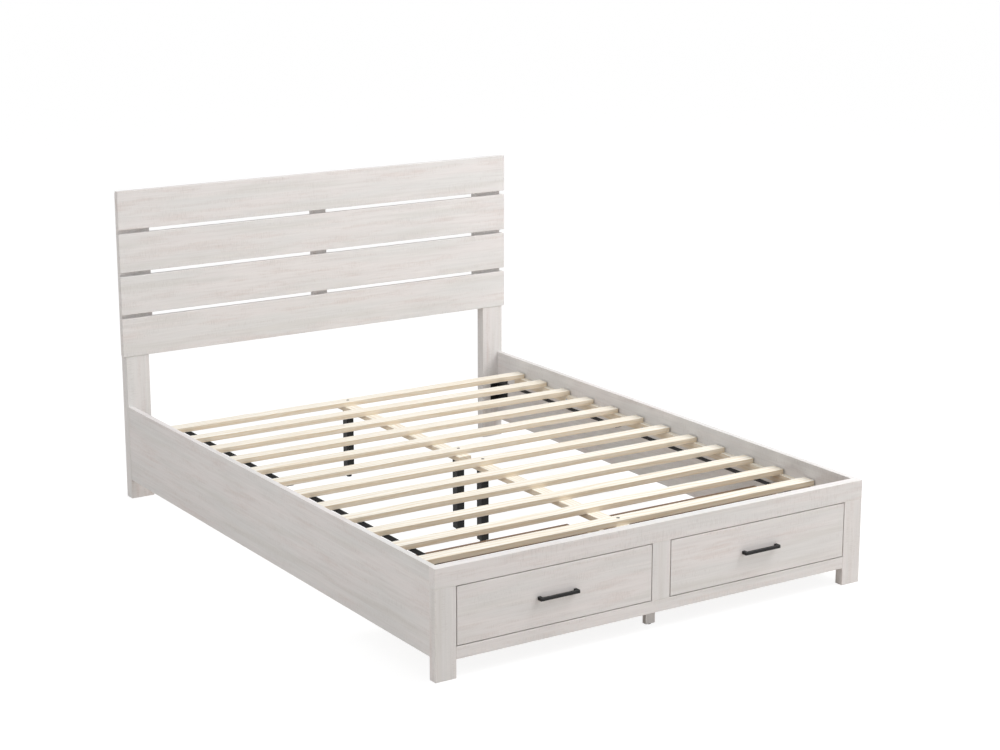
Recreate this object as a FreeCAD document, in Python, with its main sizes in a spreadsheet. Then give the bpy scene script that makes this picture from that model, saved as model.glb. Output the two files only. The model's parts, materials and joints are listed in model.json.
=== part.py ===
import FreeCAD, Part
import os
import Sketcher

# Queen-size wooden storage bed: a plank headboard, two side rails, a framed footboard
# with two drawers, and a slat deck on ledger strips and steel centre legs.
#
# Millimetres. +Z is up and the floor is Z = 0. +X is to the right for someone who
# stands at the foot and looks at the headboard, and +Y runs from foot to head.
# The origin is on the floor, in the middle of the whole bed.

doc = FreeCAD.newDocument("storage_bed")
sheet = doc.addObject("Spreadsheet::Sheet", "Sizes")


# ---------------------------------------------------------------- driving sizes

class Size:
    """A length that knows its number and the spreadsheet expression that gives it."""

    def __init__(self, value, text):
        self.value = float(value)
        self.text = text

    @staticmethod
    def of(other):
        return other if isinstance(other, Size) else Size(other, repr(float(other)))

    def join(self, other, sign, value):
        return Size(value, "(%s %s %s)" % (self.text, sign, Size.of(other).text))

    def __add__(self, other):
        return self.join(other, "+", self.value + Size.of(other).value)

    def __sub__(self, other):
        return self.join(other, "-", self.value - Size.of(other).value)

    def __mul__(self, other):
        return self.join(other, "*", self.value * Size.of(other).value)

    def __truediv__(self, other):
        return self.join(other, "/", self.value / Size.of(other).value)

    def __radd__(self, other):
        return Size.of(other) + self

    def __rsub__(self, other):
        return Size.of(other) - self

    def __rmul__(self, other):
        return Size.of(other) * self

    def __neg__(self):
        return Size.of(0) - self


def number(size):
    return Size.of(size).value


sheet_rows = []


def cell(alias, value):
    """Puts one driving dimension into the next row of the spreadsheet."""
    sheet_rows.append(alias)
    row = len(sheet_rows)
    sheet.set("A%d" % row, alias)
    sheet.set("B%d" % row, str(value))
    sheet.setAlias("B%d" % row, alias)
    return Size(value, "Sizes." + alias)


# overall
bed_width = cell("bed_width", 1600)
foot_face = cell("foot_face", -1070)           # Y of the footboard's front face
arris = cell("arris", 1)                       # chamfer on every board edge

# headboard, measured from the footboard's front face
plank_face = cell("plank_face", 2112)
plank_length = cell("plank_length", 1620)
plank_height = cell("plank_height", 138)
plank_gap = cell("plank_gap", 15)
plank_thickness = cell("plank_thickness", 21)
headboard_top = cell("headboard_top", 1125)
stile_thickness = cell("stile_thickness", 22)
outer_stile_width = cell("outer_stile_width", 118)
centre_stile_width = cell("centre_stile_width", 58)
stile_inset = cell("stile_inset", 8)
stile_top_drop = cell("stile_top_drop", 10)
head_leg_width = cell("head_leg_width", 88)
head_leg_setback = cell("head_leg_setback", 2)

# side rails
rail_thickness = cell("rail_thickness", 20)
rail_inset = cell("rail_inset", 1)
rail_bottom = cell("rail_bottom", 70)
rail_top = cell("rail_top", 343)

# footboard
foot_thickness = cell("foot_thickness", 32)
foot_leg_width = cell("foot_leg_width", 71)
mid_stile_width = cell("mid_stile_width", 67)
top_rail_height = cell("top_rail_height", 63)
bottom_rail_bottom = cell("bottom_rail_bottom", 58)
bottom_rail_height = cell("bottom_rail_height", 38.5)
dowel_diameter = cell("dowel_diameter", 8)
dowel_length = cell("dowel_length", 40)
dowel_edge = cell("dowel_edge", 20)            # from a dowel to the edge of a footboard leg

# slat deck
deck_height = cell("deck_height", 295)         # top face of the slats
slat_length = cell("slat_length", 1548)
slat_width = cell("slat_width", 48)
slat_thickness = cell("slat_thickness", 18)
slat_pitch = cell("slat_pitch", 155.5)
first_slat = cell("first_slat", 1935)          # centre line of the slat nearest the head
ledger_width = cell("ledger_width", 20)
ledger_height = cell("ledger_height", 30)
ledger_foot_gap = cell("ledger_foot_gap", 8)   # from the footboard to the ledgers
centre_rail_width = cell("centre_rail_width", 50)
centre_rail_thickness = cell("centre_rail_thickness", 18)
centre_rail_overhang = cell("centre_rail_overhang", 20)
strap_width = cell("strap_width", 25)
strap_thickness = cell("strap_thickness", 1.5)
strap_centre = cell("strap_centre", 662.5)
leg_tube = cell("leg_tube", 29)
leg_wall = cell("leg_wall", 1.5)
leg_plate = cell("leg_plate", 33)
leg_plate_thickness = cell("leg_plate_thickness", 3)
leg_lift = cell("leg_lift", 10)                # tube's lower end above the floor
glide_diameter = cell("glide_diameter", 20)
glide_height = cell("glide_height", 8)
centre_leg_setback = cell("centre_leg_setback", 18)
centre_leg_depth = cell("centre_leg_depth", 18)
centre_glide_height = cell("centre_glide_height", 3)

# drawers
drawer_gap = cell("drawer_gap", 3)             # round the front, in its opening
front_thickness = cell("front_thickness", 18)
box_thickness = cell("box_thickness", 15)
box_length = cell("box_length", 415)
box_height = cell("box_height", 120)
box_bottom = cell("box_bottom", 108)
housing_depth = cell("housing_depth", 8)       # the box sides stand this deep in the front
bottom_thickness = cell("bottom_thickness", 5)
groove_depth = cell("groove_depth", 7)
groove_rise = cell("groove_rise", 10)
groove_slack = cell("groove_slack", 0.2)
pull_spacing = cell("pull_spacing", 128)       # between a pull's two screws
pull_section = cell("pull_section", 10)
pull_bar_depth = cell("pull_bar_depth", 8)
pull_reach = cell("pull_reach", 20)
pull_arris = cell("pull_arris", 0.8)

# drawer slides and the panels that carry them
slide_depth = cell("slide_depth", 12.7)
slide_height = cell("slide_height", 45)
slide_length = cell("slide_length", 400)
slide_sheet = cell("slide_sheet", 1.2)
slide_centre = cell("slide_centre", 165)
cabinet_member_reach = cell("cabinet_member_reach", 9.5)
cabinet_member_setback = cell("cabinet_member_setback", 4)
middle_member_low = cell("middle_member_low", 2)
middle_member_high = cell("middle_member_high", 10.7)
middle_member_web = cell("middle_member_web", 5.1)
middle_member_height = cell("middle_member_height", 37.8)
middle_member_lead = cell("middle_member_lead", 4)
drawer_member_tip = cell("drawer_member_tip", 7.2)
drawer_member_height = cell("drawer_member_height", 30.4)
drawer_member_setback = cell("drawer_member_setback", 2)
panel_thickness = cell("panel_thickness", 16)
panel_length = cell("panel_length", 408)
panel_bottom = cell("panel_bottom", 110)
panel_top = cell("panel_top", 218)
back_rail_thickness = cell("back_rail_thickness", 18)
back_rail_top = cell("back_rail_top", 170)
panel_dowel_edge = cell("panel_dowel_edge", 20)
panel_screw_edge = cell("panel_screw_edge", 14)
back_rail_dowel_edge = cell("back_rail_dowel_edge", 15)
centre_leg_screw_edge = cell("centre_leg_screw_edge", 12)

# steel brackets and screws
plate_steel = cell("plate_steel", 3)
plate_arris = cell("plate_arris", 0.5)
bracket_leg_flange = cell("bracket_leg_flange", 32)
bracket_rail_flange = cell("bracket_rail_flange", 76)
bracket_bottom = cell("bracket_bottom", 148)
bracket_height = cell("bracket_height", 92)
bracket_leg_bolt = cell("bracket_leg_bolt", 20)      # bolt centres from the bracket's corner
bracket_near_bolt = cell("bracket_near_bolt", 27)
bracket_far_bolt = cell("bracket_far_bolt", 61)
join_plate_width = cell("join_plate_width", 50)
join_plate_height = cell("join_plate_height", 200)
screw_diameter = cell("screw_diameter", 4)
bolt_diameter = cell("bolt_diameter", 6)
screw_slack = cell("screw_slack", 0.1)         # added to a hole's diameter
tip_slack = cell("tip_slack", 1)               # left beyond the tip of a screw or bolt
dowel_slack = cell("dowel_slack", 0.5)         # left beyond the end of a dowel
screw_edge = cell("screw_edge", 14)            # from a headboard screw to the edge of its piece
doc.recompute()


# ---------------------------------------------------------------- building blocks

sub_parts = []


def keep(thing):
    """Marks an object as a sub-part that is written to a file of its own."""
    sub_parts.append(thing)
    return thing


def bind(thing, prop, size):
    """Ties a property to its spreadsheet expression."""
    thing.setExpression(prop, Size.of(size).text)


def place(thing, x, y, z):
    for axis, size in zip("xyz", (x, y, z)):
        bind(thing, "Placement.Base." + axis, size)


def origin_plane(body, role):
    for feature in body.Origin.OriginFeatures:
        if feature.Role == role:
            return feature


def new_body(label):
    body = doc.addObject("PartDesign::Body", label)
    body.Label = label
    return body


def new_sketch(body, name, role):
    sketch = body.newObject("Sketcher::SketchObject", name)
    sketch.AttachmentSupport = (origin_plane(body, role), [""])
    sketch.MapMode = "FlatFace"
    return sketch


def fix_point(sketch, geometry, point, x, y):
    """Holds one point of a sketch at x, y from the sketch's origin."""
    for kind, axis, size in (("DistanceX", -2, Size.of(x)), ("DistanceY", -1, Size.of(y))):
        if size.value == 0:
            sketch.addConstraint(Sketcher.Constraint("PointOnObject", geometry, point, axis))
        else:
            index = sketch.addConstraint(Sketcher.Constraint(kind, geometry, point, size.value))
            bind(sketch, "Constraints[%d]" % index, size)


def draw_polygon(sketch, corners):
    """Closed outline through the corners, each an x, y pair of sizes."""
    points = [FreeCAD.Vector(Size.of(x).value, Size.of(y).value, 0) for x, y in corners]
    first = sketch.GeometryCount
    count = len(points)
    for i in range(count):
        sketch.addGeometry(Part.LineSegment(points[i], points[(i + 1) % count]))
    for i in range(count):
        after = first + (i + 1) % count
        sketch.addConstraint(Sketcher.Constraint("Coincident", first + i, 2, after, 1))
    for i, (x, y) in enumerate(corners):
        fix_point(sketch, first + i, 1, x, y)


def draw_rectangle(sketch, x, y, width, height):
    draw_polygon(sketch, [(x, y), (x + width, y), (x + width, y + height), (x, y + height)])


def pad(body, name, sketch, length):
    feature = body.newObject("PartDesign::Pad", name)
    feature.Profile = sketch
    bind(feature, "Length", length)
    doc.recompute()
    return feature


def soften(body, name, base, size):
    """Chamfers every edge of a plain block."""
    feature = body.newObject("PartDesign::Chamfer", name)
    feature.Base = (base, ["Edge%d" % (i + 1) for i in range(len(base.Shape.Edges))])
    bind(feature, "Size", size)
    doc.recompute()
    return feature


SMALLEST_CUT = 0.1      # cubic millimetres that a pocket has to take away

# A body's origin plane for each drilling direction, and which way its normal points.
DRILLING = {"x": ("YZ_Plane", 1), "y": ("XZ_Plane", -1), "z": ("XY_Plane", 1)}


def pocket(body, name, axis, start, depth, draw):
    """Cuts what `draw` puts on a sketch, from `start` along a local axis.

    A negative depth cuts towards the lower coordinates."""
    role, normal = DRILLING[axis]
    before = body.Shape.Volume
    sketch = new_sketch(body, name + "_sketch", role)
    bind(sketch, "AttachmentOffset.Base.z", start * normal)
    draw(sketch)
    feature = body.newObject("PartDesign::Pocket", name)
    feature.Profile = sketch
    forwards = Size.of(depth).value > 0
    bind(feature, "Length", depth if forwards else -depth)
    feature.Reversed = forwards == (normal > 0)
    doc.recompute()
    if body.Shape.Volume > before - SMALLEST_CUT:
        raise RuntimeError("%s of %s cuts nothing" % (name, body.Label))
    return feature


def drill(body, name, axis, start, depth, diameter, centres):
    """Round holes of one diameter; centres are x, y pairs on the sketch."""
    def draw(sketch):
        diameter_size = Size.of(diameter)
        for x, y in centres:
            centre = FreeCAD.Vector(Size.of(x).value, Size.of(y).value, 0)
            circle = Part.Circle(centre, FreeCAD.Vector(0, 0, 1), diameter_size.value / 2)
            index = sketch.addGeometry(circle)
            fix_point(sketch, index, 3, x, y)
            rule = sketch.addConstraint(
                Sketcher.Constraint("Diameter", index, diameter_size.value))
            bind(sketch, "Constraints[%d]" % rule, diameter_size)
    return pocket(body, name, axis, start, depth, draw)


def board(label, size, corner, edge=arris):
    """A rectangular board from its lowest corner, with softened edges."""
    width, depth, height = (Size.of(s) for s in size)
    body = new_body(label)
    sketch = new_sketch(body, "outline", "XY_Plane")
    draw_rectangle(sketch, Size.of(0), Size.of(0), width, depth)
    block = pad(body, "block", sketch, height)
    if edge is not None:
        soften(body, "arris", block, edge)
    place(body, *corner)
    return body


def bundle(label, bodies):
    """Identical pieces, each a body of its own, kept as one sub-part."""
    group = doc.addObject("Part::Compound", label)
    group.Label = label
    group.Links = bodies
    return keep(group)


def loose_pieces(label, solids):
    """Identical fasteners kept as one sub-part."""
    group = doc.addObject("Part::Feature", label)
    group.Label = label
    group.Shape = Part.makeCompound(solids)
    return keep(group)


def turned(profile, foot, direction):
    """A solid of revolution from (radius, height) points, standing on `foot`."""
    points = [FreeCAD.Vector(radius, 0, height) for radius, height in profile]
    face = Part.Face(Part.makePolygon(points + points[:1]))
    solid = face.revolve(FreeCAD.Vector(0, 0, 0), FreeCAD.Vector(0, 0, 1), 360)
    turn = FreeCAD.Rotation(FreeCAD.Vector(0, 0, 1), FreeCAD.Vector(*direction))
    solid.Placement = FreeCAD.Placement(FreeCAD.Vector(*foot), turn)
    return solid


def wood_screw(head_seat, direction, length, head=8.0, head_height=2.4):
    """Pan-head screw: its head sits on `head_seat` and its shank runs along `direction`."""
    radius = number(screw_diameter) / 2
    point = 2 * radius
    rim = head / 2
    crown = 0.76 * rim
    socket_mouth = 0.32 * rim
    socket_floor = 0.24 * rim
    socket_depth = 0.45 * head_height
    profile = [
        (0, length), (radius, length - point), (radius, 0), (rim, 0),
        (rim, -head_height / 2), (crown, -head_height), (socket_mouth, -head_height),
        (socket_floor, socket_depth - head_height), (0, socket_depth - head_height)]
    return turned(profile, head_seat, direction)


def hex_prism(across_flats, height):
    """Upright hexagonal prism standing on the origin."""
    outline = [FreeCAD.Vector(across_flats / 3 ** 0.5, 0, 0)]
    turn = FreeCAD.Rotation(FreeCAD.Vector(0, 0, 1), 60)
    for _ in range(5):
        outline.append(turn.multVec(outline[-1]))
    face = Part.Face(Part.makePolygon(outline + outline[:1]))
    return face.extrude(FreeCAD.Vector(0, 0, height))


def hex_bolt(seat, direction, length):
    """Hexagon bolt with a washer under its head, seated at `seat`."""
    radius = number(bolt_diameter) / 2
    prism = hex_prism(bolt_flats, hex_head_height)
    prism.translate(FreeCAD.Vector(0, 0, -washer_height - hex_head_height))
    washer = Part.makeCylinder(washer_radius, washer_height,
                               FreeCAD.Vector(0, 0, -washer_height))
    shank = Part.makeCylinder(radius, length + washer_height,
                              FreeCAD.Vector(0, 0, -washer_height))
    solid = prism.fuse([washer, shank]).removeSplitter()
    spin = FreeCAD.Rotation(FreeCAD.Vector(0, 0, 1), FreeCAD.Vector(*direction))
    solid.Placement = FreeCAD.Placement(FreeCAD.Vector(*seat), spin)
    return solid


def bite(length, through):
    """Depth of a fastener's hole beyond the piece that the fastener passes through."""
    return length - through + tip_slack


# Lengths along Y are worked out from the footboard's front face.
def from_foot(distance):
    return foot_face + distance


def mirrored(sign, low, width):
    """Lower X edge of a piece that starts at `low` right of the middle, or of its mirror image."""
    return low if sign > 0 else -low - width


ZERO = Size.of(0)
OVERRUN = Size.of(1)        # how far a groove's cut runs out past each end of a board
SIDES = (("left", -1), ("right", 1))
half_width = bed_width / 2
screw_hole = screw_diameter + screw_slack
bolt_hole = bolt_diameter + screw_slack
dowel_hole = dowel_diameter + screw_slack
bolt_flats = 10
hex_head_height = 4
washer_radius = 6.2
washer_height = 1.2


def quarter_points(length):
    """Two points a quarter of the length from each end."""
    return (length / 4, length * 3 / 4)


# ---------------------------------------------------------------- headboard

stile_front = plank_face + plank_thickness
stile_back = stile_front + stile_thickness
plank_count = 4
headboard_bottom = (headboard_top - plank_count * plank_height
                    - (plank_count - 1) * plank_gap)
stile_height = headboard_top - stile_top_drop - headboard_bottom
stile_edge = plank_length / 2 - stile_inset
plank_screw_length = 34

# name, lower X edge and width of each stile
STILES = (
    ("left", -stile_edge, outer_stile_width),
    ("centre", -centre_stile_width / 2, centre_stile_width),
    ("right", stile_edge - outer_stile_width, outer_stile_width))

head_leg_front = plank_face + head_leg_setback
head_leg_depth = stile_back - head_leg_front
head_leg_edge = half_width - head_leg_width
join_plate_edge = head_leg_edge + (head_leg_width - join_plate_width) / 2
join_plate_bottom = headboard_bottom - join_plate_height / 2
join_screw_length = 20
join_screw_head_height = 2
JOIN_ROW_SHARES = (0.1, 0.36, 0.64, 0.9)     # of the joining plate's height


def plank_bottom(index):
    """Height of a plank's lower edge; plank 1 is the top one."""
    return headboard_top - index * plank_height - (index - 1) * plank_gap


def screw_columns(width):
    """Distances of two screw columns from the lower X edge of a piece."""
    return (screw_edge, width - screw_edge)


def plank_screw_rows():
    """Heights of the screws through all four planks."""
    return [plank_bottom(index) + row for index in range(1, plank_count + 1)
            for row in quarter_points(plank_height)]


def join_rows():
    """Heights of the joining plate's screws above its lower end."""
    return [join_plate_height * share for share in JOIN_ROW_SHARES]


def make_planks():
    for index in range(1, plank_count + 1):
        body = board("headboard_plank_%d" % index,
                     (plank_length, plank_thickness, plank_height),
                     (-plank_length / 2, from_foot(plank_face), plank_bottom(index)))
        centres = [(edge + column + plank_length / 2, row)
                   for _, edge, width in STILES
                   for column in screw_columns(width)
                   for row in quarter_points(plank_height)]
        drill(body, "pilot_holes", "y", plank_thickness,
              -bite(plank_screw_length, stile_thickness), screw_hole, centres)
        keep(body)


def make_stiles():
    for side, edge, width in STILES:
        body = board("headboard_stile_" + side, (width, stile_thickness, stile_height),
                     (edge, from_foot(stile_front), headboard_bottom))
        centres = [(column, row - headboard_bottom)
                   for column in screw_columns(width) for row in plank_screw_rows()]
        drill(body, "plank_holes", "y", ZERO, stile_thickness, screw_hole, centres)
        if side != "centre":
            sign = 1 if side == "right" else -1
            plate_edge = mirrored(sign, join_plate_edge, join_plate_width) - edge
            centres = [(plate_edge + column, join_plate_bottom + row - headboard_bottom)
                       for column in screw_columns(join_plate_width)
                       for row in join_rows()[2:]]
            drill(body, "plate_holes", "y", stile_thickness,
                  -bite(join_screw_length, plate_steel), screw_hole, centres)
        keep(body)


def make_head_legs():
    for side, sign in SIDES:
        edge = mirrored(sign, head_leg_edge, head_leg_width)
        body = board("headboard_leg_" + side,
                     (head_leg_width, head_leg_depth, headboard_bottom),
                     (edge, from_foot(head_leg_front), ZERO))
        plate_edge = (head_leg_width - join_plate_width) / 2
        centres = [(plate_edge + column, join_plate_bottom + row)
                   for column in screw_columns(join_plate_width)
                   for row in join_rows()[:2]]
        drill(body, "plate_holes", "y", head_leg_depth,
              -bite(join_screw_length, plate_steel), screw_hole, centres)
        flange_edge = bracket_edge(sign) - edge
        centres = [(flange_edge + column, bracket_bottom + row)
                   for column in bracket_leg_columns(sign)
                   for row in quarter_points(bracket_height)]
        drill(body, "bracket_holes", "y", ZERO, bite(head_bolt_length, plate_steel),
              bolt_hole, centres)
        keep(body)


def make_join_plates():
    """Flat steel plates that tie each outer stile to the leg under it."""
    plates = []
    for side, sign in SIDES:
        plate = board("join_plate_" + side, (join_plate_width, plate_steel, join_plate_height),
                      (mirrored(sign, join_plate_edge, join_plate_width),
                       from_foot(stile_back), join_plate_bottom), edge=plate_arris)
        centres = [(column, row) for column in screw_columns(join_plate_width)
                   for row in join_rows()]
        drill(plate, "screw_holes", "y", ZERO, plate_steel, screw_hole, centres)
        plates.append(plate)
    bundle("headboard_join_plates", plates)


def make_headboard_screws():
    screws = []
    for _, edge, width in STILES:
        for column in screw_columns(width):
            for row in plank_screw_rows():
                seat = (number(edge + column), number(from_foot(stile_back)), number(row))
                screws.append(wood_screw(seat, (0, -1, 0), plank_screw_length))
    for _, sign in SIDES:
        edge = mirrored(sign, join_plate_edge, join_plate_width)
        for column in screw_columns(join_plate_width):
            for row in join_rows():
                seat = (number(edge + column), number(from_foot(stile_back + plate_steel)),
                        number(join_plate_bottom + row))
                screws.append(wood_screw(seat, (0, -1, 0), join_screw_length,
                                         head_height=join_screw_head_height))
    loose_pieces("headboard_screws", screws)


# ---------------------------------------------------------------- side rails

rail_outer = half_width - rail_inset
rail_inner = rail_outer - rail_thickness
rail_start = foot_thickness
rail_length = head_leg_front - rail_start
rail_height = rail_top - rail_bottom
RAIL_DOWEL_SHARE = 0.25     # of a back rail's dowel that stands in the side rail
head_bolt_length = 34
foot_bolt_length = 24
rail_bolt_length = 18
ledger_screw_length = 34
ledger_screw_count = 8
ledger_start = rail_start + ledger_foot_gap
ledger_length = first_slat + slat_width / 2 - ledger_start
ledger_top = deck_height - slat_thickness
ledger_bottom = ledger_top - ledger_height


def bracket_edge(sign):
    """Lower X edge of a corner bracket."""
    return mirrored(sign, rail_inner - bracket_leg_flange, bracket_leg_flange)


def bracket_leg_columns(sign):
    """Where the bolt through a bracket's end flange stands, from its lower X edge."""
    return (bracket_leg_bolt,) if sign < 0 else (bracket_leg_flange - bracket_leg_bolt,)


def bracket_rail_columns():
    """Bolts through the flange on the rail, from the bracket's end flange."""
    return (bracket_near_bolt, bracket_far_bolt)


def ledger_columns():
    """Screws along a ledger strip, from its lower Y end."""
    step = ledger_length / ledger_screw_count
    return [step * (index + 0.5) for index in range(ledger_screw_count)]


def make_side_rails():
    for side, sign in SIDES:
        body = board("side_rail_" + side, (rail_thickness, rail_length, rail_height),
                     (mirrored(sign, rail_inner, rail_thickness),
                      from_foot(rail_start), rail_bottom))
        inner_face = ZERO if sign > 0 else rail_thickness
        inwards = Size.of(sign)
        bolts = [(place_along, bracket_bottom + row - rail_bottom)
                 for column in bracket_rail_columns()
                 for place_along in (column, rail_length - column)
                 for row in quarter_points(bracket_height)]
        drill(body, "bracket_holes", "x", inner_face,
              inwards * bite(rail_bolt_length, plate_steel), bolt_hole, bolts)
        screws = [(ledger_foot_gap + column, ledger_bottom + ledger_height / 2 - rail_bottom)
                  for column in ledger_columns()]
        drill(body, "ledger_holes", "x", inner_face,
              inwards * bite(ledger_screw_length, ledger_width), screw_hole, screws)
        dowels = [(back_rail_start + back_rail_thickness / 2 - rail_start, row - rail_bottom)
                  for row in back_rail_dowel_rows()]
        drill(body, "dowel_holes", "x", inner_face,
              inwards * (dowel_length * RAIL_DOWEL_SHARE + dowel_slack), dowel_hole, dowels)
        keep(body)


def make_ledgers():
    for side, sign in SIDES:
        body = board("ledger_" + side, (ledger_width, ledger_length, ledger_height),
                     (mirrored(sign, rail_inner - ledger_width, ledger_width),
                      from_foot(ledger_start), ledger_bottom))
        centres = [(column, ledger_height / 2) for column in ledger_columns()]
        drill(body, "screw_holes", "x", ZERO, ledger_width, screw_hole, centres)
        keep(body)


# ---------------------------------------------------------------- corner brackets

def bracket_outline(sign, end):
    """L outline of a bracket: `end` is +1 at the headboard and -1 at the footboard."""
    flange, reach, steel = bracket_leg_flange, bracket_rail_flange, plate_steel
    corners = [(ZERO, reach - steel), (flange - steel, reach - steel), (flange - steel, ZERO),
               (flange, ZERO), (flange, reach), (ZERO, reach)]
    if sign < 0:
        corners = [(flange - x, y) for x, y in corners]
    if end < 0:
        corners = [(x, reach - y) for x, y in corners]
    return corners


def bracket_start(end):
    return head_leg_front - bracket_rail_flange if end > 0 else rail_start


def make_brackets():
    brackets = []
    for side, sign in SIDES:
        for end_name, end in (("head", 1), ("foot", -1)):
            body = new_body("corner_bracket_%s_%s" % (end_name, side))
            sketch = new_sketch(body, "outline", "XY_Plane")
            draw_polygon(sketch, bracket_outline(sign, end))
            pad(body, "angle", sketch, bracket_height)
            face = bracket_rail_flange - plate_steel if end > 0 else ZERO
            centres = [(column, row) for column in bracket_leg_columns(sign)
                       for row in quarter_points(bracket_height)]
            drill(body, "end_holes", "y", face, plate_steel, bolt_hole, centres)
            face = bracket_leg_flange - plate_steel if sign > 0 else ZERO
            centres = [(bracket_rail_flange - column if end > 0 else column, row)
                       for column in bracket_rail_columns()
                       for row in quarter_points(bracket_height)]
            drill(body, "rail_holes", "x", face, plate_steel, bolt_hole, centres)
            place(body, bracket_edge(sign), from_foot(bracket_start(end)), bracket_bottom)
            brackets.append(body)
    bundle("corner_brackets", brackets)


def make_bracket_bolts():
    bolts = []
    for _, sign in SIDES:
        for end, length in ((1, head_bolt_length), (-1, foot_bolt_length)):
            corner = head_leg_front if end > 0 else rail_start
            for row in quarter_points(bracket_height):
                height = number(bracket_bottom + row)
                for column in bracket_leg_columns(sign):
                    seat = (number(bracket_edge(sign) + column),
                            number(from_foot(corner - end * plate_steel)), height)
                    bolts.append(hex_bolt(seat, (0, end, 0), length))
                for column in bracket_rail_columns():
                    seat = (sign * number(rail_inner - plate_steel),
                            number(from_foot(corner - end * column)), height)
                    bolts.append(hex_bolt(seat, (sign, 0, 0), rail_bolt_length))
    loose_pieces("corner_bolts", bolts)


# ---------------------------------------------------------------- footboard

opening_bottom = bottom_rail_bottom + bottom_rail_height
opening_top = rail_top - top_rail_height
opening_inner = mid_stile_width / 2
opening_outer = half_width - foot_leg_width
PANEL_DOWEL_SHARE = 0.3     # of a runner panel's dowel that stands in the footboard
dowel_bite = dowel_length / 2 + dowel_slack
panel_dowel_bite = dowel_length * PANEL_DOWEL_SHARE + dowel_slack


def leg_dowel_columns():
    """Dowels up out of a footboard leg, from its lower X edge."""
    return (dowel_edge, foot_leg_width - dowel_edge)


def stile_dowel_columns():
    return quarter_points(mid_stile_width)


def panel_dowel_rows():
    return (panel_bottom + panel_dowel_edge, panel_top - panel_dowel_edge)


def back_rail_dowel_rows():
    return (panel_bottom + back_rail_dowel_edge, back_rail_top - back_rail_dowel_edge)


def panel_edge(place_name, sign):
    """Lower X edge of a runner panel: inner ones stand behind the middle stile."""
    low = opening_inner - panel_thickness if place_name == "inner" else opening_outer
    return mirrored(sign, low, panel_thickness)


def panel_dowel_x(place_name, sign):
    return panel_edge(place_name, sign) + panel_thickness / 2


def make_footboard_legs():
    middle = foot_thickness / 2
    for side, sign in SIDES:
        edge = mirrored(sign, opening_outer, foot_leg_width)
        body = board("footboard_leg_" + side, (foot_leg_width, foot_thickness, opening_top),
                     (edge, from_foot(ZERO), ZERO))
        drill(body, "top_dowel_holes", "z", opening_top, -dowel_bite, dowel_hole,
              [(column, middle) for column in leg_dowel_columns()])
        inner_face = ZERO if sign > 0 else foot_leg_width
        rows = quarter_points(bottom_rail_height)
        drill(body, "rail_dowel_holes", "x", inner_face, sign * dowel_bite, dowel_hole,
              [(middle, bottom_rail_bottom + row) for row in rows])
        drill(body, "panel_dowel_holes", "y", foot_thickness, -panel_dowel_bite, dowel_hole,
              [(panel_dowel_x("outer", sign) - edge, row) for row in panel_dowel_rows()])
        centres = [(bracket_edge(sign) - edge + column, bracket_bottom + row)
                   for column in bracket_leg_columns(sign)
                   for row in quarter_points(bracket_height)]
        drill(body, "bracket_holes", "y", foot_thickness,
              -bite(foot_bolt_length, plate_steel), bolt_hole, centres)
        keep(body)


def make_footboard_rails():
    middle = foot_thickness / 2
    top = board("footboard_top_rail", (bed_width, foot_thickness, top_rail_height),
                (-half_width, from_foot(ZERO), opening_top))
    centres = [(mirrored(sign, opening_outer, foot_leg_width) + column + half_width, middle)
               for _, sign in SIDES for column in leg_dowel_columns()]
    centres += [(half_width - opening_inner + column, middle)
                for column in stile_dowel_columns()]
    drill(top, "dowel_holes", "z", ZERO, dowel_bite, dowel_hole, centres)
    keep(top)

    bottom = board("footboard_bottom_rail",
                   (2 * opening_outer, foot_thickness, bottom_rail_height),
                   (-opening_outer, from_foot(ZERO), bottom_rail_bottom))
    rows = [(middle, row) for row in quarter_points(bottom_rail_height)]
    drill(bottom, "left_dowel_holes", "x", ZERO, dowel_bite, dowel_hole, rows)
    drill(bottom, "right_dowel_holes", "x", 2 * opening_outer, -dowel_bite, dowel_hole, rows)
    centres = [(opening_outer - opening_inner + column, middle)
               for column in stile_dowel_columns()]
    drill(bottom, "stile_dowel_holes", "z", bottom_rail_height, -dowel_bite, dowel_hole, centres)
    keep(bottom)


def make_mid_stile():
    middle = foot_thickness / 2
    height = opening_top - opening_bottom
    body = board("footboard_mid_stile", (mid_stile_width, foot_thickness, height),
                 (-opening_inner, from_foot(ZERO), opening_bottom))
    centres = [(column, middle) for column in stile_dowel_columns()]
    drill(body, "top_dowel_holes", "z", height, -dowel_bite, dowel_hole, centres)
    drill(body, "bottom_dowel_holes", "z", ZERO, dowel_bite, dowel_hole, centres)
    centres = [(panel_dowel_x("inner", sign) + opening_inner, row - opening_bottom)
               for _, sign in SIDES for row in panel_dowel_rows()]
    drill(body, "panel_dowel_holes", "y", foot_thickness, -panel_dowel_bite, dowel_hole, centres)
    keep(body)


def dowel(start, direction, length):
    """Plain beech dowel with chamfered ends."""
    radius = number(dowel_diameter) / 2
    bevel = number(arris)
    profile = [(0, 0), (radius - bevel, 0), (radius, bevel), (radius, length - bevel),
               (radius - bevel, length), (0, length)]
    return turned(profile, start, direction)


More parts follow.
